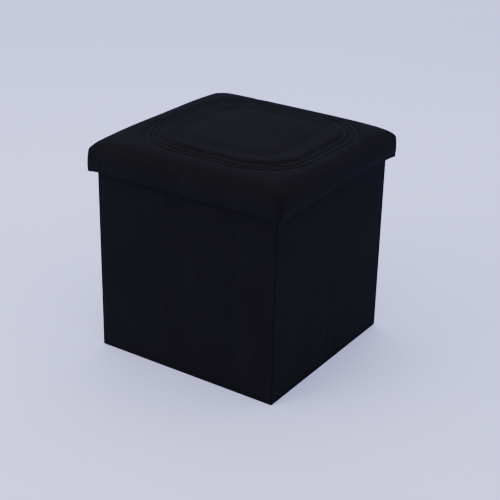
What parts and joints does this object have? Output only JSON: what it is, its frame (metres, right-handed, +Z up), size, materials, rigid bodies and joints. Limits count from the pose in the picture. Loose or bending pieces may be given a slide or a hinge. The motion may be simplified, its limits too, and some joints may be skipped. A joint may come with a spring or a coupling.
{
  "type": "storage ottoman",
  "caption": "Cube-shaped fabric footstool with a padded lift-off lid over a storage well, whose split side walls fold inwards so that it packs flat.",
  "frame": {"origin": "centre of the footprint on the floor", "axes": "+Z up, -Y the front wall, +X the right side wall, which is one of the two that are split and fold inwards"},
  "size_m": [0.38, 0.374, 0.382],
  "materials": {
    "cover_cloth": "matte",
    "binding_cloth": "matte",
    "lining_cloth": "matte",
    "fibreboard": "matte",
    "foam": "matte"
  },
  "bodies": {
    "base_and_front_wall": {"floor_cloth": "binding_cloth", "bottom_hem_front": "cover_cloth", "bottom_hem_rear": "cover_cloth", "bottom_hem_right": "cover_cloth", "bottom_hem_left": "cover_cloth", "front_cover": "cover_cloth", "front_board": "fibreboard", "front_lining": "lining_cloth", "front_top_binding": "binding_cloth", "corner_seam_front_right": "binding_cloth", "corner_seam_front_left": "binding_cloth"},
    "right_front": {"right_front_cover": "cover_cloth", "right_front_board": "fibreboard", "right_front_lining": "lining_cloth", "right_front_top_binding": "binding_cloth"},
    "right_rear": {"right_rear_cover": "cover_cloth", "right_rear_board": "fibreboard", "right_rear_lining": "lining_cloth", "right_rear_top_binding": "binding_cloth"},
    "rear_wall": {"rear_cover": "cover_cloth", "rear_board": "fibreboard", "rear_lining": "lining_cloth", "rear_top_binding": "binding_cloth", "corner_seam_rear_right": "binding_cloth", "corner_seam_rear_left": "binding_cloth"},
    "left_front": {"left_front_cover": "cover_cloth", "left_front_board": "fibreboard", "left_front_lining": "lining_cloth", "left_front_top_binding": "binding_cloth"},
    "left_rear": {"left_rear_cover": "cover_cloth", "left_rear_board": "fibreboard", "left_rear_lining": "lining_cloth", "left_rear_top_binding": "binding_cloth"},
    "insert": {"insert_board": "fibreboard", "insert_top_cloth": "lining_cloth", "insert_bottom_cloth": "lining_cloth", "insert_pull_tab": "binding_cloth"},
    "lid": {"lid_board": "fibreboard", "lid_rim_front": "fibreboard", "lid_rim_rear": "fibreboard", "lid_rim_right": "fibreboard", "lid_rim_left": "fibreboard", "lid_side_pad_front": "foam", "lid_side_pad_rear": "foam", "lid_side_pad_right": "foam", "lid_side_pad_left": "foam", "lid_foam": "foam", "lid_cover": "cover_cloth", "lid_lining": "lining_cloth"}
  },
  "joints": [
    {"name": "lid_lift", "type": "slide", "parent": "base_and_front_wall", "child": "lid", "axis": [0, 0, 1], "range_m": [0, 0.25]},
    {"name": "insert_flip", "type": "hinge", "parent": "base_and_front_wall", "child": "insert", "pos_m": [0, -0.1655, 0.0061], "axis": [1, 0, 0], "range_deg": [0, 90]},
    {"name": "fold_right_front", "type": "hinge", "parent": "base_and_front_wall", "child": "right_front", "pos_m": [0.1689, -0.16, 0.17], "axis": [0, 0, 1], "range_deg": [0, 85]},
    {"name": "fold_right_crease", "type": "hinge", "parent": "right_front", "child": "right_rear", "pos_m": [0.1755, 0, 0.17], "axis": [0, 0, 1], "range_deg": [-170, 0]},
    {"name": "fold_rear_right", "type": "hinge", "parent": "right_rear", "child": "rear_wall", "pos_m": [0.1689, 0.16, 0.17], "axis": [0, 0, 1], "range_deg": [0, 85]},
    {"name": "fold_left_front", "type": "hinge", "parent": "base_and_front_wall", "child": "left_front", "pos_m": [-0.1689, -0.16, 0.17], "axis": [0, 0, 1], "range_deg": [-85, 0]},
    {"name": "fold_left_crease", "type": "hinge", "parent": "left_front", "child": "left_rear", "pos_m": [-0.1755, 0, 0.17], "axis": [0, 0, 1], "range_deg": [0, 170]}
  ],
  "couplings": [
    {"joint": "fold_right_crease", "follows": "fold_right_front", "ratio": -2},
    {"joint": "fold_rear_right", "follows": "fold_right_front", "ratio": 1},
    {"joint": "fold_left_front", "follows": "fold_right_front", "ratio": -1},
    {"joint": "fold_left_crease", "follows": "fold_right_front", "ratio": 2}
  ]
}
